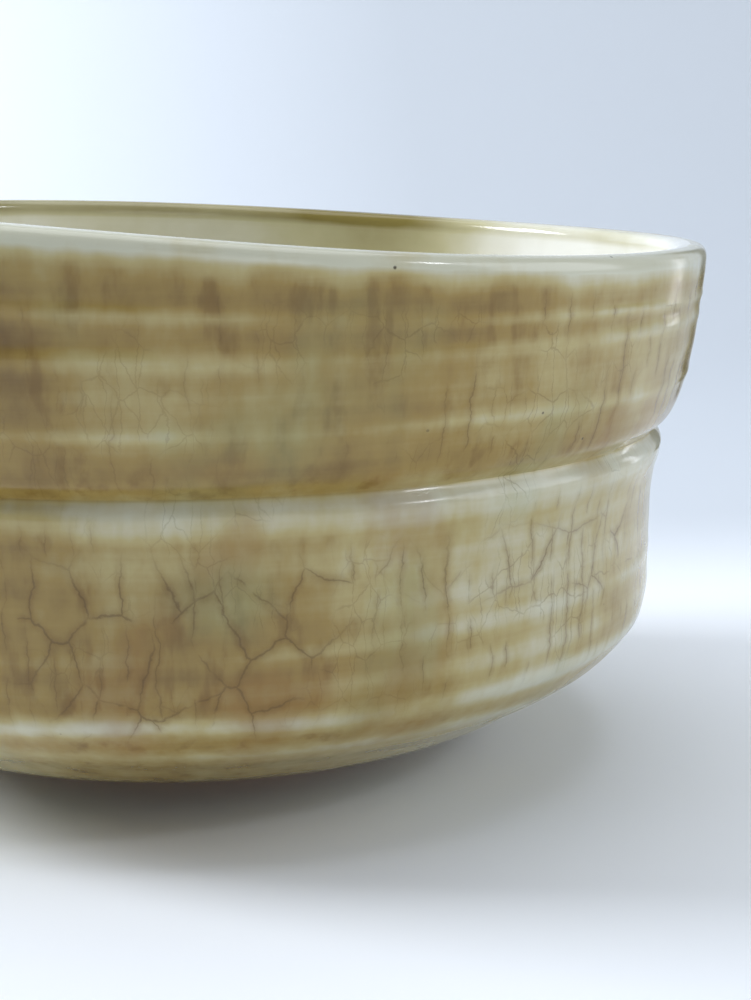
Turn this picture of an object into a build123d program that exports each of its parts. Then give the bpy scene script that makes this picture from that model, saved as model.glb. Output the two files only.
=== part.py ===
"""Matcha bowl: a thrown stoneware tea bowl with a turned foot and a coat of glaze inside and out.

Millimetres, +Z up. The origin is the centre of the foot's resting face.
Every wall is a profile turned about Z. A profile is a list of (radius, height) points.
"""

from build123d import *
import os
from math import cos, hypot, radians, sin

# Driving dimensions
RIM_RADIUS = 60.0        # outside of the lip
RIM_HEIGHT = 61.7        # mean height of the lip above the table
RIM_LEAN = 3.0           # the lip is this much lower than its mean at its low side, and higher opposite
LOW_SIDE = 15.0          # degrees from +X towards +Y to the lip's low side
LIP_THICKNESS = 3.8      # wall at the lip, with both coats of glaze
GLAZE = 0.5              # thickness of each coat
LIP_ROUNDING = 1.6       # radius of the glazed lip's two edges
FOOT_HEIGHT = 4.0        # the foot ring, from the table to the belly
FOOT_OUTER = 22.5        # outside radius of the foot ring
FOOT_WIDTH = 4.5         # radial width of the foot ring
FOOT_ROUNDING = 0.6      # softened edges of the resting face
FOOT_TAPER = 0.6         # each side of the foot leans in this much towards the table
RECESS_HEIGHT = 5.2      # the underside inside the foot ring, above the table
RECESS_SLOPE = 1.5       # radial width of the slope round that recess
GLAZE_STOP = 27.0        # the outer coat ends at this radius under the belly
ABOVE_RIM = 12.0         # how far the profiles run past the lip before it is trimmed
UPRIGHT_FROM = 57.0      # the wall is upright from this height to the lip

RIM_INNER = RIM_RADIUS - LIP_THICKNESS
TOP = RIM_HEIGHT + ABOVE_RIM

# Glazed outside, from the lip down: each crest or corner, and the bulge (+) or hollow (-) of the
# wall between it and the one before.
OUTSIDE = [
    (RIM_RADIUS, TOP, 0.0),
    (RIM_RADIUS, UPRIGHT_FROM, 0.0),
    (59.7, 55.0, 0.0),              # first throwing ring
    (59.4, 51.0, -0.3),             # second ring
    (58.6, 44.6, -0.25),            # third ring
    (56.0, 38.8, 0.6),              # wall turned in above the waist
    (54.9, 37.8, -0.1),             # bottom of the waist groove
    (55.7, 36.8, -0.15),            # lower lip of the groove
    (54.6, 22.5, -0.3),             # ridge of the lower drum
    (52.8, 14.6, 0.3),              # shoulder ridge
    (39.8, 5.9, 0.7),               # the belly turns under
    (GLAZE_STOP, 3.7, 0.9),         # edge of the glaze under the belly
]

# Glazed inside, from the lip down to the middle of the floor.
INSIDE = [
    (RIM_INNER, 54.0),
    (54.8, 47.5),
    (51.4, 39.0),
    (49.8, 30.0),
    (46.4, 19.5),
    (38.0, 12.8),
    (22.0, 10.5),
    (0.0, 10.0),
]


def shifted(points, distance):
    """The points moved sideways by distance, to the right of the way the list runs."""
    moved = []
    for i, (r, z) in enumerate(points):
        before = points[max(i - 1, 0)]
        after = points[min(i + 1, len(points) - 1)]
        dr, dz = after[0] - before[0], after[1] - before[1]
        length = hypot(dr, dz)
        moved.append((r + distance * dz / length, z - distance * dr / length))
    return moved


def turned(edges):
    """The solid that a closed outline in the XZ plane makes when it is turned about Z."""
    return revolve(make_face(Plane.XZ * Wire(edges)), Axis.Z)


def outer_form(inset):
    """Everything inside the outer wall, with the wall moved in by inset."""
    points = shifted([(r, z) for r, z, _ in OUTSIDE], inset)
    points[0] = (RIM_RADIUS - inset, TOP)
    points[1] = (RIM_RADIUS - inset, UPRIGHT_FROM)
    points[-1] = (GLAZE_STOP, points[-1][1])
    edges = [Line((0, TOP), points[0])]
    for start, end, (_, _, bulge) in zip(points, points[1:], OUTSIDE[1:]):
        edges.append(SagittaArc(start, end, bulge) if bulge else Line(start, end))
    recess = FOOT_OUTER - FOOT_WIDTH
    edges += Polyline([
        points[-1],
        (FOOT_OUTER, FOOT_HEIGHT),
        (recess, FOOT_HEIGHT),
        (recess - RECESS_SLOPE, RECESS_HEIGHT),
        (0, RECESS_HEIGHT),
        (0, TOP),
    ]).edges()
    return turned(edges)


def inner_form(growth):
    """The hollow of the bowl, with its wall moved out by growth."""
    points = shifted(INSIDE, -growth)
    points[0] = (RIM_INNER + growth, INSIDE[0][1])
    points[-1] = (0, INSIDE[-1][1] - growth)
    wall = Spline(points, tangents=[(0, -1), (-1, 0)])
    return turned([
        Line((0, TOP), (points[0][0], TOP)),
        Line((points[0][0], TOP), points[0]),
        wall,
        Line(points[-1], (0, TOP)),
    ])


def walled(cover):
    """The bowl without its foot: cover is the glaze on it, 0 for bare clay."""
    depth = GLAZE - cover
    bowl = outer_form(depth) - inner_form(depth)
    slope = RIM_LEAN / RIM_RADIUS
    square_to_lip = (slope * cos(radians(LOW_SIDE)), slope * sin(radians(LOW_SIDE)), 1)
    lip = Plane(origin=(0, 0, RIM_HEIGHT - depth), z_dir=square_to_lip)
    bowl = split(bowl, bisect_by=lip, keep=Keep.BOTTOM)
    top = bowl.faces().sort_by(Axis.Z)[-1]
    return fillet(top.edges(), LIP_ROUNDING - depth)


def glaze_coats(clay):
    """The outer and the inner coat, which part in the middle of the lip."""
    bare = Cylinder(GLAZE_STOP, 3 * FOOT_HEIGHT)
    shell = walled(GLAZE) - clay - bare
    inside = inner_form(LIP_THICKNESS / 2)
    return shell - inside, shell & inside


def foot_ring():
    """Slightly tapered ring of bare clay with a softened resting face."""
    inner = FOOT_OUTER - FOOT_WIDTH
    low_outer, low_inner = FOOT_OUTER - FOOT_TAPER, inner + FOOT_TAPER
    corners = [(inner, FOOT_HEIGHT), (FOOT_OUTER, FOOT_HEIGHT), (low_outer, 0), (low_inner, 0)]
    ring = turned(Polyline(corners, close=True).edges())
    resting = ring.faces().sort_by(Axis.Z)[0]
    return fillet(resting.edges(), FOOT_ROUNDING)


def main():
    os.makedirs("parts", exist_ok=True)
    clay = walled(0.0)
    outer, inner = glaze_coats(clay)
    nodes = {
        "clay_body": clay,
        "foot_ring": foot_ring(),
        "outer_glaze": outer,
        "inner_glaze": inner,
    }
    for name, shape in nodes.items():
        export_step(shape, f"parts/{name}.step")


main()
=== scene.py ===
"""Matcha bowl: a wheel-thrown tea bowl with an amber glaze outside and a cream glaze inside.

Lengths are millimetres, and metres on the stage. The bowl stands on z = 0 and is turned about Z.
An outline is a list of (radius, height) points. Angles run from +X towards +Y.
"""

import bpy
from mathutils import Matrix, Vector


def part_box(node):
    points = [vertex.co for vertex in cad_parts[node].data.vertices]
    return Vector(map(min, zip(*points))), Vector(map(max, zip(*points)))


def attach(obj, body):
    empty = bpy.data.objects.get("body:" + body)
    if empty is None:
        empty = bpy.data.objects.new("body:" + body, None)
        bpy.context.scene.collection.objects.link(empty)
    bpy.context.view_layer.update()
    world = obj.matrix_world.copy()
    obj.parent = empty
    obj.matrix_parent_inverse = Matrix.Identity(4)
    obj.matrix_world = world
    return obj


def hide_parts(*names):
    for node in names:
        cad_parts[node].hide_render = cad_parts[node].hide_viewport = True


bl_info = {
    "name": "Matcha Bowl",
    "version": (1, 0, 0),
    "blender": (4, 5, 0),
    "location": "View3D > Sidebar > Tea Bowl",
    "description": "Builds a wheel-thrown tea bowl with a crackled amber glaze",
    "category": "Add Mesh",
}

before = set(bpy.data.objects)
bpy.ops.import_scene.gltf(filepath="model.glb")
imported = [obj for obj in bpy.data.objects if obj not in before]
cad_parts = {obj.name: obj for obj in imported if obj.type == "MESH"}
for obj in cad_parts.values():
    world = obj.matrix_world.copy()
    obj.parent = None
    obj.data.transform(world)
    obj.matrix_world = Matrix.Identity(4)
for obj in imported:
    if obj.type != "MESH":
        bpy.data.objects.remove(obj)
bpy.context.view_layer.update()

import math

import bpy
import numpy as np
from mathutils import Matrix, Vector, noise

MM = 0.001
GLAZE_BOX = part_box("outer_glaze")
FOOT_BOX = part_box("foot_ring")
RIM_RADIUS = (GLAZE_BOX[1].x - GLAZE_BOX[0].x) / 2 / MM
FOOT_RADIUS = FOOT_BOX[1].x / MM
FOOT_HEIGHT = FOOT_BOX[1].z / MM
FOOT_WIDTH = 4.5         # radial width of the foot ring
RECESS_HEIGHT = 5.2      # the underside inside the foot ring
RECESS_SLOPE = 1.5       # radial width of the slope round that recess
RECESS_CROWN = 0.2       # how far the recess rises towards its middle

# The lip, and what the coats share
LIP_HEIGHT = 61.7        # mean height of the lip
LIP_WIDTH = 3.8          # wall at the lip
LIP_ROUND = 1.8          # height of the lip's rounding
LIP_POWER = 0.72         # 1 rounds the lip as an ellipse, less makes it flatter and squarer
LIP_LEAN = 3.04          # the lip is this much lower than its mean at its low side, and higher opposite
LOW_SIDE = 15.0          # degrees from +X to the lip's low side
COAT = 0.5               # thickness of a coat of glaze
LIP_CREST = RIM_RADIUS - LIP_WIDTH / 2
WALL_RADIUS = 57.0       # mean radius of the outer wall
TURN_STEPS = 288         # faces round the bowl
FINGER_PITCH = 4.4       # from one spiral finger mark inside to the next
FINGER_DEPTH = 0.18      # how far it goes in and out

# Spacing of the points down each face: fine for the rings, and wide where a face is hidden
OUTER_STEP = 0.36
OUTER_BACK_STEP = 2.4
INNER_STEP = 0.8
INNER_BACK_STEP = 2.0
CLAY_STEP = 1.2

# Outside of the glaze from just under the lip to where it stops under the belly
OUTSIDE = [
    (RIM_RADIUS, LIP_HEIGHT - LIP_ROUND), (59.8, 56.5), (59.5, 53.0), (59.3, 50.0), (59.0, 47.5),
    (58.4, 44.5), (57.7, 42.0), (56.8, 40.0), (55.6, 38.8), (54.9, 38.2), (55.2, 37.6),
    (55.8, 36.6), (55.6, 35.0), (55.0, 33.0), (54.7, 29.5), (54.6, 25.0), (54.5, 21.5),
    (54.2, 18.0), (52.8, 15.0), (50.6, 12.5), (47.6, 10.3), (44.4, 8.5), (39.8, 5.9), (34.7, 4.2),
    (30.5, 3.7), (27.6, 3.7),
]
GLAZE_STOP = (27.0, 3.95)    # where the coat's edge meets the clay

# Inside of the glaze from just under the lip to the middle of the floor
INSIDE = [
    (RIM_RADIUS - LIP_WIDTH, LIP_HEIGHT - LIP_ROUND), (56.1, 54.0), (54.7, 47.5), (52.6, 42.5),
    (51.2, 38.0), (50.4, 33.0), (49.4, 27.0), (47.3, 21.0), (43.6, 16.0), (37.0, 12.6),
    (28.0, 11.0), (19.0, 10.6), (16.5, 10.3), (12.0, 9.9), (6.0, 9.8), (0.0, 9.8),
]

# Throwing rings outside: height, rise towards +X, how proud, half-width, how far the glaze thins
RINGS = [
    (55.1, -0.6, 0.12, 0.60, 0.16),
    (51.3, 0.1, 0.12, 0.80, 0.16),
    (48.2, -0.5, 0.05, 0.90, 0.06),
    (44.8, 0.0, 0.15, 0.65, 0.19),
    (41.6, 0.3, 0.04, 0.70, 0.04),
    (31.4, 0.6, 0.08, 1.20, 0.10),
    (27.0, 0.6, 0.08, 1.30, 0.12),
    (22.9, 1.1, 0.12, 0.80, 0.20),
    (19.2, 0.8, 0.10, 0.90, 0.16),
    (15.4, 0.8, 0.22, 1.05, 0.46),
    (11.2, 0.4, 0.08, 0.80, 0.20),
]


def smooth(edge0, edge1, value):
    """0 below edge0 and 1 above edge1, with soft ends."""
    t = np.clip((value - edge0) / (edge1 - edge0), 0, 1)
    return t * t * (3 - 2 * t)


def hump(value, width):
    """A soft ridge of height 1 at 0."""
    return np.exp(-((value / width) ** 2))


def curve_through(points, spacing):
    """A smooth curve through the points (Catmull-Rom), with a point about every spacing."""
    ends = [points[0]] + list(points) + [points[-1]]
    line = []
    for before, a, b, after in zip(ends, ends[1:], ends[2:], ends[3:]):
        p0, p1, p2, p3 = (np.array(p, float) for p in (before, a, b, after))
        count = max(1, round(float(np.linalg.norm(p2 - p1)) / spacing))
        for i in range(count):
            t = i / count
            line.append(tuple(0.5 * (
                2 * p1 + (p2 - p0) * t + (2 * p0 - 5 * p1 + 4 * p2 - p3) * t * t
                + (3 * p1 - p0 - 3 * p2 + p3) * t ** 3
            )))
    return line + [tuple(points[-1])]


def beside(line, distance):
    """The line moved sideways by distance, to the right of the way it runs."""
    p = np.array(line, float)
    run = np.gradient(p, axis=0)
    run /= np.linalg.norm(run, axis=1)[:, None]
    return [tuple(q) for q in p + distance * np.stack([run[:, 1], -run[:, 0]], 1)]


def lip_quarter(side, inset, count=12):
    """Half of the lip's rounding, from its crest to the wall: side is 1 outside and -1 inside."""
    wide, high = LIP_WIDTH / 2 - inset, LIP_ROUND - inset
    low = LIP_HEIGHT - LIP_ROUND
    quarter = []
    for i in range(count):
        angle = math.pi / 2 * i / count
        out, up = math.sin(angle) ** LIP_POWER, math.cos(angle) ** LIP_POWER
        quarter.append((LIP_CREST + side * wide * out, low + high * up))
    return quarter


def wall_side(points, side, inset, spacing):
    """One face of the wall from the lip's crest down, moved into the wall by inset."""
    line = curve_through(points, spacing)
    moved = beside(line, side * inset)
    moved[0] = (points[0][0] - side * inset, points[0][1])
    return lip_quarter(side, inset) + moved


def middle_radius(z):
    """Radius of the middle of the wall at heights z, between the inner and the outer face."""
    out_z, out_r = [p[1] for p in OUTSIDE[::-1]], [p[0] for p in OUTSIDE[::-1]]
    in_z, in_r = [p[1] for p in INSIDE[::-1]], [p[0] for p in INSIDE[::-1]]
    return (np.interp(z, out_z, out_r) + np.interp(z, in_z, in_r)) / 2


def patchy(turn, z, cell, seed):
    """Smooth noise from about -1 to 1 at these angles and heights, in patches about cell across.

    The noise is worked out on a grid over the wall and read between the grid's points.
    """
    columns, rows, top = 181, 37, 72.0
    shift = Vector((seed * 7.1, seed * 3.7, seed * 5.3))
    grid = np.array([[
        noise.noise(Vector((RIM_RADIUS * math.cos(a), RIM_RADIUS * math.sin(a), h)) / cell + shift)
        for h in np.linspace(0, top, rows)] for a in np.linspace(-math.pi, math.pi, columns)])
    column = (turn + math.pi) / math.tau * (columns - 1)
    row = np.clip(z, 0, top - 0.1) / top * (rows - 1)
    i, j = np.minimum(column.astype(int), columns - 2), row.astype(int)
    u, v = column - i, row - j
    low = grid[i, j] * (1 - u) + grid[i + 1, j] * u
    high = grid[i, j + 1] * (1 - u) + grid[i + 1, j + 1] * u
    return low * (1 - v) + high * v


def lip_wave(turn):
    """How far the lip is above its mean height at these angles: a lean and two finger-pressed waves."""
    lean = -LIP_LEAN * np.cos(turn - math.radians(LOW_SIDE))
    two = 0.67 * np.cos(2 * turn - math.radians(116))
    three = 0.40 * np.cos(3 * turn + math.radians(33))
    return lean + two + three


def ring_fields(turn, z):
    """How proud the throwing rings stand on the outside, and how far they thin the glaze."""
    proud, thinned = np.zeros(len(z)), np.zeros(len(z))
    for i, (height, rise, stand, width, pale) in enumerate(RINGS):
        level = np.full(len(z), height)
        wander = 0.8 * patchy(turn, level, 32.0, 3 + i)
        strength = np.clip(0.95 + 1.0 * patchy(turn, level, 16.0, 20 + i), 0.40, 1.25)
        away = z - height - rise * np.cos(turn) - wander
        proud += stand * strength * (0.7 * hump(away, width) + 0.3 * hump(away, 2.6 * width))
        thinned += pale * strength * hump(away, 1.2 * width)
    return proud, thinned


def thrown_by_hand(obj, shape):
    """Moves a turned mesh's points as hands leave a wall: rings, an uneven round and a wavy lip.

    Gives back the radius, angle and height that each point was turned at.
    """
    mesh = obj.data
    flat = np.zeros(len(mesh.vertices) * 3)
    mesh.vertices.foreach_get("co", flat)
    x, y, z = flat.reshape(-1, 3).T / MM
    radius, turn = np.hypot(x, y), np.arctan2(y, x)
    under_belly, under_floor = 3.0, 9.0
    outer = (radius > middle_radius(z)) & (z > under_belly)
    inner = ~outer & (z > under_floor)
    rings = shape.ring_relief * ring_fields(turn, z)[0] * (1 - smooth(57.0, 60.5, z))
    spiral = z / FINGER_PITCH + turn / math.tau
    fingers = FINGER_DEPTH * np.sin(spiral * math.tau) * smooth(12, 20, z)
    lumps = 0.35 * patchy(turn, z, 45.0, 1) + 0.10 * patchy(turn, z, 14.0, 2)
    out_of_round = 0.5 * np.cos(2 * turn + 0.8) * smooth(20, 60, z)
    shift = rings * outer + fingers * (1 - smooth(50, 58, z)) * inner + lumps + out_of_round
    grow = 1 + shift * smooth(5.0, 14.0, z) / np.maximum(radius, 1e-6)
    rise = shape.lip_wave * lip_wave(turn) * smooth(49.5, LIP_HEIGHT, z)
    moved = np.stack([x * grow, y * grow, z + rise], 1)
    mesh.vertices.foreach_set("co", (moved * MM).ravel())
    mesh.update()
    return radius, turn, z


def deselect_all():
    """Leaves edit mode and selects nothing."""
    if bpy.context.object and bpy.context.object.mode != "OBJECT":
        bpy.ops.object.mode_set(mode="OBJECT")
    bpy.ops.object.select_all(action="DESELECT")


def just_added(name):
    """The object that an operator has just added, with its name."""
    obj = bpy.context.object
    obj.name = obj.data.name = name
    return obj


def turn_on_wheel(name, outline):
    """Extrudes one point along the outline, spins it round Z and closes it."""
    deselect_all()
    first = outline[0]
    bpy.ops.mesh.primitive_plane_add(size=MM, location=(first[0] * MM, 0, first[1] * MM))
    obj = just_added(name)
    bpy.ops.object.mode_set(mode="EDIT")
    bpy.ops.mesh.select_all(action="SELECT")
    bpy.ops.mesh.merge(type="CENTER")
    for a, b in zip(outline, outline[1:]):
        step = ((b[0] - a[0]) * MM, 0, (b[1] - a[1]) * MM)
        bpy.ops.mesh.extrude_region_move(TRANSFORM_OT_translate={"value": step})
    bpy.ops.mesh.select_all(action="SELECT")
    bpy.ops.mesh.spin(steps=TURN_STEPS, angle=math.tau, center=(0, 0, 0), axis=(0, 0, 1))
    bpy.ops.mesh.select_all(action="SELECT")
    bpy.ops.mesh.remove_doubles(threshold=0.005 * MM)
    bpy.ops.mesh.normals_make_consistent(inside=False)
    bpy.ops.object.mode_set(mode="OBJECT")
    bpy.ops.object.transform_apply(location=True, rotation=True, scale=True)
    bpy.ops.object.shade_smooth_by_angle(angle=math.radians(50))
    return obj


def finish_piece(obj, node, material):
    """Gives the piece its material and slot, and puts it on the one body in place of its CAD node."""
    obj.data.materials.clear()
    obj.data.materials.append(material)
    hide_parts(node)
    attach(obj, "root")


# Materials

SOFT = {"interpolation_type": "SMOOTHSTEP"}      # a MapRange with soft ends


def linear(hex_colour):
    """An sRGB hex colour as linear red, green, blue and alpha."""
    channels = [int(hex_colour[i:i + 2], 16) / 255 for i in (1, 3, 5)]
    return [c / 12.92 if c <= 0.04045 else ((c + 0.055) / 1.055) ** 2.4 for c in channels] + [1.0]


def add(tree, kind, *fills, **named):
    """Adds a node and gives back its first live output.

    Each of fills goes to the next input, None to skip one. A named value is one of the node's
    properties, an input by its name, or an input by its number as _6. Stops are a colour ramp's
    (place, colour) pairs.
    """
    node = tree.nodes.new("ShaderNode" + kind)
    for i, (position, colour) in enumerate(named.pop("stops", ())):
        element = node.color_ramp.elements[i] if i < 2 else node.color_ramp.elements.new(position)
        element.position = position
        element.color = colour
    settings = {key: value for key, value in named.items() if hasattr(node, key)}
    for key, value in settings.items():
        setattr(node, key, value)
    sockets = [(node.inputs[i], value) for i, value in enumerate(fills) if value is not None]
    for key, value in named.items():
        if key not in settings:
            sockets.append((node.inputs[int(key[1:]) if key[0] == "_" else key.replace("_", " ")], value))
    for socket, value in sockets:
        if isinstance(value, bpy.types.NodeSocket):
            tree.links.new(value, socket)
        else:
            socket.default_value = value
    return next((output for output in node.outputs if output.enabled), node)


def new_material(name):
    """An empty material: gives it with its node tree, its shader node and the object coordinates."""
    material = bpy.data.materials.new(name)
    material.use_nodes = True
    tree = material.node_tree
    tree.nodes.clear()
    surface = add(tree, "BsdfPrincipled")
    add(tree, "OutputMaterial", surface)
    place = add(tree, "TexCoord").node.outputs["Object"]
    return material, tree, surface.node, place


def clouds(tree, place, size, stretch=(1, 1, 1), shift=0.0, detail=3.0):
    """Soft patches from 0 to 1, about size millimetres across and longer where stretch is under 1."""
    moved = add(tree, "Mapping", place, (shift, 2 * shift, -shift), Scale=stretch)
    return add(tree, "TexNoise", Vector=moved, Scale=0.5 / (size * MM), Detail=detail)


def crackle(tree, place, cell, stretch, width, where, shift=0.0):
    """A net of cracks on the unrolled wall, where the mask is: cell and width are millimetres."""
    moved = add(tree, "Mapping", place, (shift, -shift, 0), Scale=stretch)
    edge = add(tree, "TexVoronoi", Vector=moved, Scale=1 / (cell * MM), voronoi_dimensions="2D",
               feature="DISTANCE_TO_EDGE")
    line = add(tree, "MapRange", edge, width / cell, 0.0, **SOFT)
    return add(tree, "Math", line, where, operation="MULTIPLY")


def upright_cracks(tree, along, gap, width, where):
    """Cracks that run up the wall, where the mask is: gap and width are millimetres."""
    edge = add(tree, "TexVoronoi", W=along, Scale=1 / (gap * MM), voronoi_dimensions="1D",
               feature="DISTANCE_TO_EDGE")
    line = add(tree, "MapRange", edge, width / gap, 0.0, **SOFT)
    return add(tree, "Math", line, where, operation="MULTIPLY")


def amber_glaze(look):
    """Ash glaze over stoneware, dipped and fired to a gloss.

    It is thin on the crests and the lip, where the grey-ivory clay shows through, and ochre to
    brown where it ran together in the hollows. Cooling crazed it, and tea stained the cracks.
    """
    material, tree, shader, place = new_material("amber_ash_glaze_dipped")

    # Depth of the glaze, carrying painted light and shade too: patches, runs down the wall and faint
    # thrown lines round it
    depth_and_light = add(tree, "Attribute", attribute_name="glaze_depth_and_light").node.outputs["Fac"]
    for size, stretch, amount in ((6.0, (1, 1, 0.8), 0.34), (2.4, (1, 1, 0.7), 0.30),
                                  (1.3, (1, 1, 0.18), 0.24), (0.6, (1, 1, 0.6), 0.14),
                                  (0.8, (0.12, 0.12, 2.0), 0.14)):
        cloud = clouds(tree, place, size, stretch, shift=size * 0.013)
        centred = add(tree, "Math", cloud, 0.5, operation="SUBTRACT")
        depth_and_light = add(tree, "Math", centred, amount, depth_and_light, operation="MULTIPLY_ADD")
    colour = add(tree, "ValToRGB", depth_and_light, stops=[
        (0.0, look.thin), (1.0, look.pooled), (0.36, look.pale), (0.6, look.body)])

    # Brown runs that hang in the pooled glaze between the rings
    runs = add(tree, "MapRange", clouds(tree, place, 1.1, (1, 1, 0.3), shift=0.17), 0.50, 0.72,
               0.0, 0.50, **SOFT)
    pooled = add(tree, "MapRange", depth_and_light, 0.40, 0.62, **SOFT)
    runs = add(tree, "Math", runs, pooled, operation="MULTIPLY")
    colour = add(tree, "Mix", runs, _6=colour, _7=look.runs, data_type="RGBA")

    # Iron blushes orange-brown, and ash leaves faint green pools
    for name, tint, size, most in (("iron_blush", look.iron, 3.0, 0.46),
                                   ("green_pool", look.green, 4.0, 0.36)):
        where = add(tree, "Attribute", attribute_name=name).node.outputs["Fac"]
        cloud = clouds(tree, place, size, (1, 1, 0.6), 0.04)
        ragged = add(tree, "Math", cloud, 1.0, where, operation="MULTIPLY_ADD")
        amount = add(tree, "MapRange", ragged, 0.65, 1.25, 0.0, most, **SOFT)
        colour = add(tree, "Mix", amount, _6=colour, _7=tint, data_type="RGBA")

    # Where it crazed: a coarse net low on the wall, upright cracks, and fine ones
    wall = add(tree, "Attribute", attribute_name="wall_place").node.outputs["Vector"]
    wobble = add(tree, "TexNoise", Vector=wall, Scale=190.0, Detail=5.0, Roughness=0.6)
    wobble = add(tree, "VectorMath", wobble.node.outputs["Color"], (0.5, 0.5, 0.5), operation="SUBTRACT")
    bent = add(tree, "VectorMath", wobble, (2.8 * MM, 2.8 * MM, 0), wall, operation="MULTIPLY_ADD")
    bent_along = add(tree, "SeparateXYZ", bent)
    crazed = add(tree, "Attribute", attribute_name="crazing").node.outputs["Vector"]
    crazed = add(tree, "SeparateXYZ", crazed).node.outputs
    worn = add(tree, "MapRange", clouds(tree, wall, 2.2, shift=0.21), 0.36, 0.54, **SOFT)
    net_area = add(tree, "Math", crazed["X"], worn, operation="MULTIPLY")
    broken = add(tree, "MapRange", clouds(tree, wall, 1.6, (1, 0.7, 1), shift=0.13), 0.42, 0.58, **SOFT)
    upright_area = add(tree, "Math", crazed["Y"], broken, operation="MULTIPLY")
    fine_area = add(tree, "MapRange", clouds(tree, wall, 5.0, shift=0.09), 0.48, 0.62, **SOFT)
    fine_area = add(tree, "Math", fine_area, crazed["Z"], operation="MULTIPLY")

    # The cracks, and the soft stain that tea leaves beside the coarse and the upright ones
    net_cell, net_stretch, upright_gap, stain_width = 5.4, (1, 0.85, 1), 2.9, 0.8
    crack = crackle(tree, bent, net_cell, net_stretch, 0.15, net_area)
    for other in (upright_cracks(tree, bent_along, upright_gap, 0.13, upright_area),
                  upright_cracks(tree, bent_along, 1.9, 0.09, fine_area),
                  crackle(tree, bent, 2.6, (1, 0.7, 1), 0.10, fine_area, shift=0.012)):
        crack = add(tree, "Math", crack, other, operation="MAXIMUM")
    upright_stain = upright_cracks(tree, bent_along, upright_gap, stain_width, upright_area)
    net_stain = crackle(tree, bent, net_cell, net_stretch, stain_width, net_area)
    stain = add(tree, "Math", upright_stain, net_stain, operation="MAXIMUM")
    stain = add(tree, "Math", stain, 0.36, operation="MULTIPLY")
    colour = add(tree, "Mix", stain, _6=colour, _7=look.stain, data_type="RGBA")
    inked = add(tree, "Math", crack, look.crack_strength, operation="MULTIPLY")
    colour = add(tree, "Mix", inked, _6=colour, _7=look.crack, data_type="RGBA")

    # Iron specks, about a third of a millimetre across, in one cell out of a few
    ragged = add(tree, "VectorMath", wobble, [0.6 * MM] * 3, place, operation="MULTIPLY_ADD")
    cells = add(tree, "TexVoronoi", Vector=ragged, Scale=1 / (3.0 * MM)).node
    chosen = add(tree, "MapRange", cells.outputs["Color"], 0.78, 0.82, **SOFT)
    speck = add(tree, "MapRange", cells.outputs["Distance"], 0.08, 0.03, **SOFT)
    speck = add(tree, "Math", speck, chosen, operation="MULTIPLY")
    inked = add(tree, "Math", speck, 0.85, operation="MULTIPLY")
    colour = add(tree, "Mix", inked, _6=colour, _7=look.speck, data_type="RGBA")

    # The gloss is a little uneven, and the surface soft and wavy with the cracks just sunk in it
    tree.links.new(colour, shader.inputs["Base Color"])
    shader.inputs["IOR"].default_value = 1.5
    gloss = add(tree, "MapRange", clouds(tree, place, 3.0, shift=0.3), 0.3, 0.7, 0.10, 0.22)
    tree.links.new(gloss, shader.inputs["Roughness"])
    relief = clouds(tree, place, 1.8, (1, 1, 1.5), shift=0.4, detail=2.0)
    relief = add(tree, "Math", crack, -0.2, relief, operation="MULTIPLY_ADD")
    relief = add(tree, "Math", speck, -0.8, relief, operation="MULTIPLY_ADD")
    bump = add(tree, "Bump", Height=relief, Strength=0.3, Distance=0.12 * MM)
    tree.links.new(bump, shader.inputs["Normal"])
    return material


def cream_glaze(look):
    """The same ash glaze poured thin inside: glossy pale cream, olive where it gathered in the well, an
    olive band under the lip, painted shade on the far wall and painted light on the wall towards +X.
    """
    material, tree, shader, place = new_material("cream_ash_glaze_poured")
    depth_and_light = add(tree, "Attribute", attribute_name="glaze_depth_and_light").node.outputs["Fac"]
    for size, amount in ((9.0, 0.26), (2.0, 0.14)):
        centred = add(tree, "Math", clouds(tree, place, size, detail=4.0), 0.5, operation="SUBTRACT")
        depth_and_light = add(tree, "Math", centred, amount, depth_and_light, operation="MULTIPLY_ADD")
    colour = add(tree, "ValToRGB", depth_and_light, stops=[
        (0.0, look.inside_thin_and_lit), (1.0, look.inside_pooled), (0.5, look.inside_body)])
    tree.links.new(colour, shader.inputs["Base Color"])
    shader.inputs["Roughness"].default_value = 0.12
    shader.inputs["IOR"].default_value = 1.5
    waves = clouds(tree, place, 1.8, detail=2.0)
    bump = add(tree, "Bump", Height=waves, Strength=0.3, Distance=0.1 * MM)
    tree.links.new(bump, shader.inputs["Normal"])
    return material


def bare_stoneware(look):
    """Unglazed stoneware, turned and fired: buff with toasted patches, sandy, and quite matt."""
    material, tree, shader, place = new_material("buff_stoneware_turned")
    toast = clouds(tree, place, 9.0, detail=5.0)
    colour = add(tree, "ValToRGB", toast, stops=[(0.3, look.clay), (0.8, look.toasted_clay)])
    tree.links.new(colour, shader.inputs["Base Color"])
    shader.inputs["Roughness"].default_value = 0.85
    grit = clouds(tree, place, 0.25)
    bump = add(tree, "Bump", Height=grit, Strength=0.5, Distance=0.15 * MM)
    tree.links.new(bump, shader.inputs["Normal"])
    return material


def from_front(turn):
    """The angle from the front, positive towards +X. Its two ends meet at the back."""
    return np.arctan2(np.cos(turn), -np.sin(turn))


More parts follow.
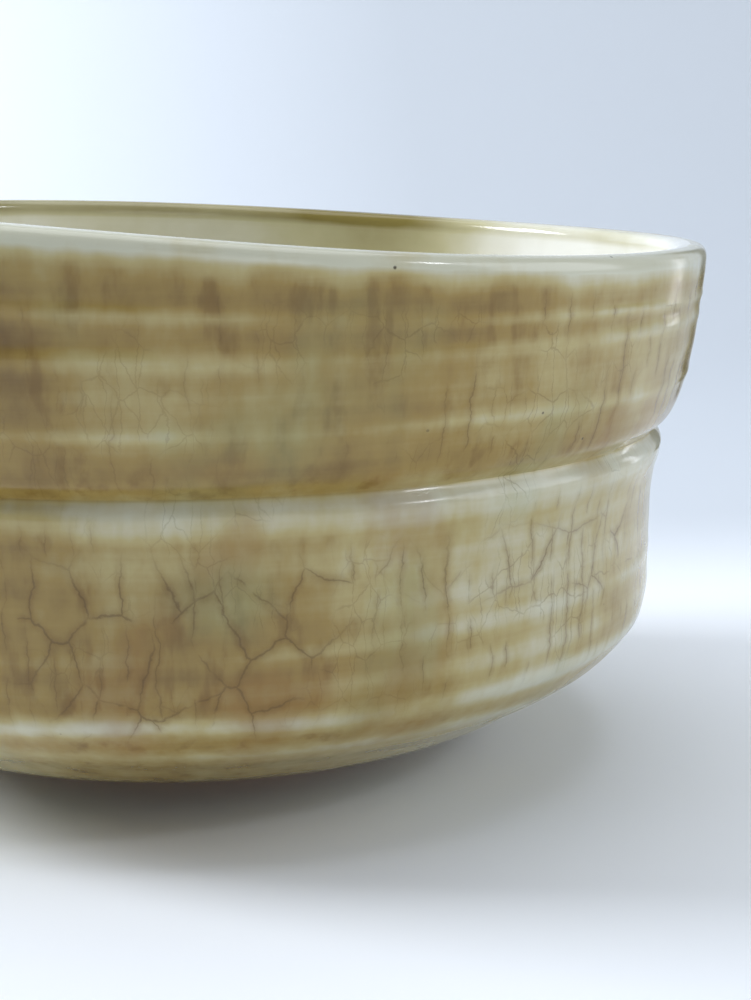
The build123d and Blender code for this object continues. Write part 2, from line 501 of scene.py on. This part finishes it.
def outer_glaze_depth_and_light(turn, z):
    """How deep the amber coat lies, from 0 on bare crests to 1 in pools, with painted light and shade
    mixed in: a highlight on the front of the lip, shade above the waist, light on the roll under it, under
    the belly and towards +X.
    """
    front = from_front(turn)
    near = smooth(-0.2, 0.4, np.cos(front))
    depth_and_light = 0.60 - ring_fields(turn, z)[1]

    # Bare along the lip, most of all in front, and a painted highlight on the front of the crest
    bare_to = LIP_HEIGHT - 4.4 + 2.6 * patchy(turn, z, 9.0, 52)
    depth_and_light -= (0.16 + 0.30 * near) * smooth(bare_to, LIP_HEIGHT - 0.4, z)
    # Painted highlight: a pale strip just under the crest on the front of the lip
    depth_and_light -= 0.40 * near * smooth(LIP_HEIGHT - 2.2, LIP_HEIGHT - 0.9, z)

    # Pooled between the rings, and darker above the waist: pooled glaze there, and painted shade where the
    # wall turns under
    depth_and_light += 0.20 * hump(z - 41.0, 2.0) + 0.12 * hump(z - 56.8, 1.3) + 0.10 * hump(z - 53.4, 1.2)
    # Paler on the roll under the waist: thin glaze, and painted light where the roll faces up; the narrow
    # hump at 37.2 is painted light against the shade of the band above
    waist = smooth(33.6, 35.8, z) * (1 - smooth(37.8, 38.3, z))
    depth_and_light -= (0.30 * waist + 0.14 * hump(z - 37.2, 0.8)) * (0.9 + 0.5 * patchy(turn, z, 18.0, 50))

    # A dark pool under the lip towards -X, a wide one low in front, and clouds all over
    depth_and_light += 0.40 * hump(front + 0.33, 0.12) * hump(z - 51.0, 6.0)
    depth_and_light += 0.22 * hump(front - 0.20, 0.34) * hump(z - 22.0, 8.5) + 0.08 * hump(z - 46.5, 4.0)
    depth_and_light += 0.16 * patchy(turn, z, 26.0, 51)

    # Paler under the belly and round the side towards +X: painted light, for the bounce from the table and
    # the light and reflections from the right
    depth_and_light -= 0.14 * (1 - smooth(8.0, 14.5, z))
    return depth_and_light - 0.21 * smooth(0.3, 1.0, np.cos(turn + 0.4))


def iron_blush(turn, z):
    """Where iron turned the glaze orange-brown: over the shoulder and waist, and in small clouds."""
    front = from_front(turn)
    shoulder = 0.75 * hump(front - 0.12, 0.15) * hump(z - 18.6, 3.0)
    above_waist = 0.50 * hump(front - 0.02, 0.12) * hump(z - 41.0, 1.8)
    return shoulder + above_waist + 0.40 * smooth(0.10, 0.50, patchy(turn, z, 13.0, 71))


def green_pool(turn, z):
    """Where ash pooled to a faint green: in the middle of the lower drum, and in wide clouds."""
    middle = 0.65 * hump(from_front(turn) - 0.02, 0.15) * hump(z - 28.5, 4.0)
    return middle + 0.40 * smooth(0.10, 0.50, patchy(turn, z, 16.0, 72))


def crazing(turn, z):
    """Where the coat is crazed: a coarse net, upright cracks and fine cracks, from 0 to 1."""
    front = from_front(turn)
    # The ends of the unrolled wall meet at the back, and the narrow cracks fade out before it
    away_from_seam = 1 - smooth(2.94, 3.05, np.abs(front))
    drum = smooth(13.0, 17.0, z) * (1 - smooth(29.0, 34.5, z))
    net = drum * smooth(0.0, 0.35, patchy(turn, z, 26.0, 80) + 0.55 * hump(front - 0.05, 0.26))
    above_waist = smooth(37.0, 40.0, z) * (1 - smooth(55.0, 59.0, z))
    lower = smooth(15.0, 19.0, z) * (1 - smooth(33.0, 37.0, z))
    on_the_right = smooth(0.20, 0.55, front) * (1 - smooth(1.2, 1.6, front))
    reach = (0.45 + 0.40 * on_the_right) * above_waist + 0.80 * lower
    upright = reach * smooth(0.0, 0.3, patchy(turn, z, 12.0, 81) + 0.22 * on_the_right)
    fine = (0.45 + 0.25 * on_the_right) * smooth(13.0, 20.0, z) * (1 - smooth(54.0, 58.0, z))
    return np.stack([net, upright * away_from_seam, fine * away_from_seam], 1)


def inner_glaze_depth_and_light(turn, z):
    """How deep the cream coat lies, with painted light and shade: painted light on the wall towards +X,
    painted shade on the far side and lower down, an olive band just under the lip that is strongest on the
    far side, and pooled in the well.
    """
    edge = smooth(LIP_HEIGHT - 2.6, LIP_HEIGHT - 1.2, z) * (0.70 + 0.5 * patchy(turn, z, 30.0, 60))
    far_side = 0.25 + 0.75 * smooth(-0.2, 0.5, np.sin(turn))
    # Painted shade on the far wall, darkest about 60 degrees round from +X, and lower on the wall; the
    # wall towards +X, where it is least, shows painted light
    far_wall_shade = 0.31 * smooth(0.50, 1.10, np.abs(turn)) + 0.38 * hump(turn - 1.05, 0.26)
    far_wall_shade = far_wall_shade * smooth(14.0, 40.0, z) + 0.12 * (1 - smooth(30.0, 54.0, z))
    return 0.02 + far_wall_shade + 0.60 * edge * far_side + 0.20 * (1 - smooth(10.0, 19.0, z))


def store(obj, name, values):
    """Writes a value or a vector at each point of the mesh, for the material."""
    kind, key = ("FLOAT", "value") if values.ndim == 1 else ("FLOAT_VECTOR", "vector")
    layer = obj.data.attributes.new(name, kind, "POINT")
    layer.data.foreach_set(key, values.ravel().astype(np.float32))


def wall_place(radius, turn, z):
    """Where each point lies on the unrolled wall, in metres: along the round, and up.

    Under the shoulder, the way in towards the foot counts as further down.
    """
    shoulder_radius = 53.0
    up = z - np.maximum(0, shoulder_radius - radius)
    return np.stack([from_front(turn) * WALL_RADIUS, up, np.zeros(len(z))], 1) * MM


# Stage, in metres

TABLE_WIDTH = 4.0
TABLE_LENGTH = 3.0       # along the sheet, table and wall together
TABLE_FRONT = -1.2       # y of the sheet's front edge
TABLE_FLAT = 1.55        # length of the level part
TABLE_BEND = 0.35        # radius of the bend up to the wall

# Area lights: name, where it stands, where it aims, its size, watts and colour
LAMPS = (
    ("window_left", (-0.80, 0.20, 0.48), (0, 0, 0.04), (0.35, 0.35), 9.0, "#f4f8ff"),
    ("window_far_right", (0.75, -0.53, 0.60), (0, 0, 0.04), (0.07, 0.09), 1.0, "#f4f8ff"),
    ("softbox_right", (0.95, -0.15, 0.40), (0, 0, 0.04), (0.7, 0.7), 3.4, "#f2f6ff"),
    ("softbox_top", (0.00, 0.05, 0.90), (0, 0, 0), (0.8, 0.8), 3.7, "#f4f8ff"),
    ("strip_right", (0.25, 0.13, 0.06), (0.06, 0, 0.04), (0.010, 0.10), 0.02, "#f2f6ff"),
    ("room_front", (0.10, -0.90, 0.12), (0, 0, 0.01), (0.5, 0.3), 0.5, "#fff8f0"),
)


def table_paint():
    """Matt emulsion: nearly white on the table, and behind the bowl a painted light that is pale on the
    left and greyer to the right.
    """
    material, tree, shader, place = new_material("matt_pale_paint_with_painted_light")
    axes = add(tree, "SeparateXYZ", place).node.outputs
    # Painted light: behind the bowl the paint fades from pale on the left to grey on the right, as the
    # window light from the left falls off
    across = add(tree, "MapRange", axes["X"], -0.10, 0.28)
    wall = add(tree, "ValToRGB", across, stops=[(0.0, linear("#e8eef4")), (0.5, linear("#cad0d6"))])
    behind = add(tree, "MapRange", axes["Y"], 0.04, 0.13, **SOFT)
    colour = add(tree, "Mix", behind, _6=linear("#eff3f7"), _7=wall, data_type="RGBA")
    tree.links.new(colour, shader.inputs["Base Color"])
    shader.inputs["Roughness"].default_value = 0.8
    return material


def table_sweep():
    """One sheet that lies level under the bowl and bends up into a wall behind it."""
    deselect_all()
    bpy.ops.mesh.primitive_grid_add(x_subdivisions=2, y_subdivisions=60, size=1, location=(0, 0, 0))
    table = just_added("table_sweep")
    for vertex in table.data.vertices:
        along = (vertex.co.y + 0.5) * TABLE_LENGTH
        past = max(along - TABLE_FLAT, 0.0)
        angle = min(past / TABLE_BEND, math.pi / 2)
        straight = past - angle * TABLE_BEND
        vertex.co.x *= TABLE_WIDTH
        vertex.co.y = TABLE_FRONT + min(along, TABLE_FLAT) + TABLE_BEND * math.sin(angle)
        vertex.co.z = TABLE_BEND * (1 - math.cos(angle)) + straight
    bpy.ops.object.shade_smooth()
    table.data.materials.append(table_paint())


def soft_light(name, stand, target, size, power, colour):
    """An area light that lights the bowl and shows in its gloss, but isn't seen itself."""
    bpy.ops.object.light_add(type="AREA", location=stand)
    light = bpy.context.object
    light.name = name
    light.visible_camera = False
    light.data.shape = "RECTANGLE"
    light.data.size, light.data.size_y = size
    light.data.energy = power
    light.data.color = linear(colour)[:3]
    aim = Vector(target) - Vector(stand)
    light.rotation_euler = aim.to_track_quat("-Z", "Y").to_euler()


def edge_flag():
    """A small black card that only the gloss sees: it draws the thin dark line down the right edge."""
    deselect_all()
    bpy.ops.mesh.primitive_plane_add(
        size=1, location=(0.150, 0.170, 0.07), rotation=(math.pi / 2, 0, -0.5))
    flag = just_added("dark_flag")
    flag.scale = (0.035, 0.14, 1)
    flag.visible_camera = False
    flag.visible_diffuse = False
    flag.visible_shadow = False
    cloth, _, shader, _ = new_material("black_felt")
    shader.inputs["Base Color"].default_value = linear("#1c1c1a")
    shader.inputs["Roughness"].default_value = 1.0
    flag.data.materials.append(cloth)


def pale_room(scene):
    """Even light from the pale walls of the room."""
    world = bpy.data.worlds.new("pale_room")
    world.use_nodes = True
    background = world.node_tree.nodes["Background"]
    background.inputs["Color"].default_value = linear("#dfe7f2")
    background.inputs["Strength"].default_value = 0.31
    scene.world = world


def stand_camera(scene, settings):
    """The camera in front of the bowl, a little above it, turned and tilted as the settings say."""
    bpy.ops.object.camera_add(location=(0, -settings.camera_distance, settings.camera_height))
    camera = bpy.context.object
    camera.name = "camera"
    camera.data.sensor_width = 36.0
    camera.data.lens = settings.lens
    camera.data.clip_start = 0.01
    turned = (Matrix.Rotation(-settings.camera_yaw, 3, "Z")
              @ Matrix.Rotation(math.pi / 2 - settings.camera_pitch, 3, "X")
              @ Matrix.Rotation(settings.camera_roll, 3, "Z"))
    camera.rotation_euler = turned.to_euler()
    scene.camera = camera


# Settings, operators and panel


def colour_setting(name, description, hex_colour):
    """A colour for the panel."""
    return bpy.props.FloatVectorProperty(
        name=name, description=description, default=linear(hex_colour), subtype="COLOR",
        size=4, min=0.0, max=1.0)


class BowlShape(bpy.types.PropertyGroup):
    """Sizes of the glaze and of the marks of throwing"""

    coat: bpy.props.FloatProperty(
        name="Coat", description="Thickness of each coat of glaze", default=COAT * MM,
        min=0.0002, max=0.001, unit="LENGTH", precision=4)
    ring_relief: bpy.props.FloatProperty(
        name="Ring relief", description="How proud the throwing rings stand: 0 for a smooth wall",
        default=1.0, min=0.0, max=3.0, subtype="FACTOR")
    lip_wave: bpy.props.FloatProperty(
        name="Lip wave", description="How far the lip leans and waves: 0 for a level lip",
        default=1.0, min=0.0, max=1.5, subtype="FACTOR")


class BowlLook(bpy.types.PropertyGroup):
    """Colours of the glazes and the clay"""

    thin: colour_setting("Thin glaze", "Outer glaze on bare crests and at the lip", "#cac9b3")
    pale: colour_setting("Pale glaze", "Outer glaze where it is shallow", "#b0a16d")
    body: colour_setting("Amber glaze", "Outer glaze at its usual depth", "#987f42")
    pooled: colour_setting("Pooled glaze", "Outer glaze where it is deepest", "#604316")
    runs: colour_setting("Runs", "Brown runs down the outer glaze", "#6a4a14")
    iron: colour_setting("Iron", "Iron blushes in the outer glaze", "#85591a")
    green: colour_setting("Ash green", "Green pools in the outer glaze", "#8b9366")
    crack: colour_setting("Cracks", "The crazing's fine lines", "#4c3000")
    stain: colour_setting("Stain", "Tea stain beside the cracks", "#6a4a08")
    speck: colour_setting("Specks", "Iron specks in the outer glaze", "#33261b")
    crack_strength: bpy.props.FloatProperty(
        name="Crack strength", description="How dark the crazing is", default=0.46, min=0.0, max=1.0,
        subtype="FACTOR")
    # The thinnest cream is nearly white: where it shows, on the inner wall towards +X, it is also painted
    # light
    inside_thin_and_lit: colour_setting("Thin cream", "Inner glaze where it is thinnest", "#f6f6f0")
    inside_body: colour_setting("Cream glaze", "Inner glaze at its usual depth", "#c0ba94")
    inside_pooled: colour_setting("Pooled cream", "Inner glaze where it gathered", "#80733a")
    clay: colour_setting("Clay", "Bare stoneware", "#b9976f")
    toasted_clay: colour_setting("Toasted clay", "Bare stoneware where the fire toasted it", "#a8734a")


class BowlStage(bpy.types.PropertyGroup):
    """Where the camera stands and how it looks at the bowl"""

    lens: bpy.props.FloatProperty(
        name="Lens", description="Focal length of the camera", default=72.0, unit="CAMERA")
    camera_height: bpy.props.FloatProperty(
        name="Camera height", description="Height of the camera above the table",
        default=0.0723, unit="LENGTH")
    camera_distance: bpy.props.FloatProperty(
        name="Camera distance", description="Distance from the camera to the bowl's axis",
        default=0.2385, unit="LENGTH")
    camera_yaw: bpy.props.FloatProperty(
        name="Turn", description="Turn of the camera towards the right",
        default=math.radians(5.27), subtype="ANGLE")
    camera_pitch: bpy.props.FloatProperty(
        name="Tilt", description="Tilt of the camera towards the table",
        default=math.radians(10.6), subtype="ANGLE")
    camera_roll: bpy.props.FloatProperty(
        name="Roll", description="Roll of the camera about its view",
        default=math.radians(-0.45), subtype="ANGLE")


class BOWL_OT_outer_glaze(bpy.types.Operator):
    """The amber coat: lip to belly outside, with the throwing rings, the waist and the shoulder"""

    bl_idname = "bowl.outer_glaze"
    bl_label = "Outer glaze"

    def execute(self, context):
        shape, look = context.scene.bowl_shape, context.scene.bowl_look
        face = wall_side(OUTSIDE, 1, 0.0, OUTER_STEP)
        back = wall_side(OUTSIDE, 1, shape.coat / MM, OUTER_BACK_STEP)
        obj = turn_on_wheel("outer_glaze_coat", face + [GLAZE_STOP] + back[::-1] + face[:1])
        radius, turn, z = thrown_by_hand(obj, shape)
        store(obj, "glaze_depth_and_light", np.clip(outer_glaze_depth_and_light(turn, z), 0, 1))
        store(obj, "iron_blush", iron_blush(turn, z))
        store(obj, "green_pool", green_pool(turn, z))
        store(obj, "crazing", crazing(turn, z))
        store(obj, "wall_place", wall_place(radius, turn, z))
        finish_piece(obj, "outer_glaze", amber_glaze(look))
        return {"FINISHED"}


class BOWL_OT_inner_glaze(bpy.types.Operator):
    """The cream coat: lip to floor inside, with finger marks and a shallow well"""

    bl_idname = "bowl.inner_glaze"
    bl_label = "Inner glaze"

    def execute(self, context):
        shape, look = context.scene.bowl_shape, context.scene.bowl_look
        face = wall_side(INSIDE, -1, 0.0, INNER_STEP)
        back = wall_side(INSIDE, -1, shape.coat / MM, INNER_BACK_STEP)
        back[-1] = (0.0, back[-1][1])
        obj = turn_on_wheel("inner_glaze_coat", face + back[::-1] + face[:1])
        _, turn, z = thrown_by_hand(obj, shape)
        store(obj, "glaze_depth_and_light", np.clip(inner_glaze_depth_and_light(turn, z), 0, 1))
        finish_piece(obj, "inner_glaze", cream_glaze(look))
        return {"FINISHED"}


class BOWL_OT_clay_wall(bpy.types.Operator):
    """The thrown clay between the coats, bare round the foot"""

    bl_idname = "bowl.clay_wall"
    bl_label = "Clay wall"

    def execute(self, context):
        shape, look = context.scene.bowl_shape, context.scene.bowl_look
        outside = wall_side(OUTSIDE, 1, shape.coat / MM, CLAY_STEP)
        inside = wall_side(INSIDE, -1, shape.coat / MM, INNER_BACK_STEP)
        inside[-1] = (0.0, inside[-1][1])
        recess = FOOT_RADIUS - FOOT_WIDTH
        crown = RECESS_HEIGHT + RECESS_CROWN
        under = [(FOOT_RADIUS, FOOT_HEIGHT), (recess, FOOT_HEIGHT), (recess - RECESS_SLOPE, RECESS_HEIGHT),
                 (recess / 2, crown), (0.0, crown)]
        obj = turn_on_wheel("thrown_clay_wall", inside[::-1] + outside + under)
        thrown_by_hand(obj, shape)
        finish_piece(obj, "clay_body", bare_stoneware(look))
        return {"FINISHED"}


class BOWL_OT_foot_ring(bpy.types.Operator):
    """The turned foot: a low tapered ring of bare clay with softened edges"""

    bl_idname = "bowl.foot_ring"
    bl_label = "Foot ring"

    def execute(self, context):
        top, outer, inner = FOOT_HEIGHT, FOOT_RADIUS, FOOT_RADIUS - FOOT_WIDTH
        side = [(0.0, top), (0.4, 1.0), (0.7, 0.3), (1.2, 0.0)]
        corners = [(inner + r, z) for r, z in side] + [(outer - r, z) for r, z in side[::-1]]
        corners.append(corners[0])
        line = [p for a, b in zip(corners, corners[1:]) for p in curve_through([a, b], 0.35)[:-1]]
        obj = turn_on_wheel("turned_foot_ring", line + [corners[0]])
        finish_piece(obj, "foot_ring", bare_stoneware(context.scene.bowl_look))
        return {"FINISHED"}


class BOWL_OT_stage(bpy.types.Operator):
    """A plain pale table, soft light from windows beside and above the bowl, and the camera"""

    bl_idname = "bowl.stage"
    bl_label = "Stage"

    def execute(self, context):
        table_sweep()
        for lamp in LAMPS:
            soft_light(*lamp)
        edge_flag()
        pale_room(context.scene)
        stand_camera(context.scene, context.scene.bowl_stage)
        context.scene.view_settings.view_transform = "Standard"
        return {"FINISHED"}


GROUPS = {BowlShape: "bowl_shape", BowlLook: "bowl_look", BowlStage: "bowl_stage"}
OPERATORS = (
    BOWL_OT_outer_glaze, BOWL_OT_inner_glaze, BOWL_OT_clay_wall, BOWL_OT_foot_ring, BOWL_OT_stage,
)


class BOWL_PT_panel(bpy.types.Panel):
    """Lists the bowl's pieces and its stage"""

    bl_idname = "BOWL_PT_panel"
    bl_label = "Tea Bowl"
    bl_space_type = "VIEW_3D"
    bl_region_type = "UI"
    bl_category = "Tea Bowl"

    def draw(self, context):
        for operator in OPERATORS:
            self.layout.operator(operator.bl_idname)
        for group, place in GROUPS.items():
            self.layout.separator()
            for name in group.__annotations__:
                self.layout.prop(getattr(context.scene, place), name)


CLASSES = (*GROUPS, *OPERATORS, BOWL_PT_panel)


def register():
    for cls in CLASSES:
        bpy.utils.register_class(cls)
    for group, name in GROUPS.items():
        setattr(bpy.types.Scene, name, bpy.props.PointerProperty(type=group))


def unregister():
    for name in GROUPS.values():
        delattr(bpy.types.Scene, name)
    for cls in reversed(CLASSES):
        bpy.utils.unregister_class(cls)


def main():
    register()
    bpy.ops.bowl.outer_glaze()
    bpy.ops.bowl.inner_glaze()
    bpy.ops.bowl.clay_wall()
    bpy.ops.bowl.foot_ring()
    bpy.ops.bowl.stage()


if __name__ == "__main__":
    main()
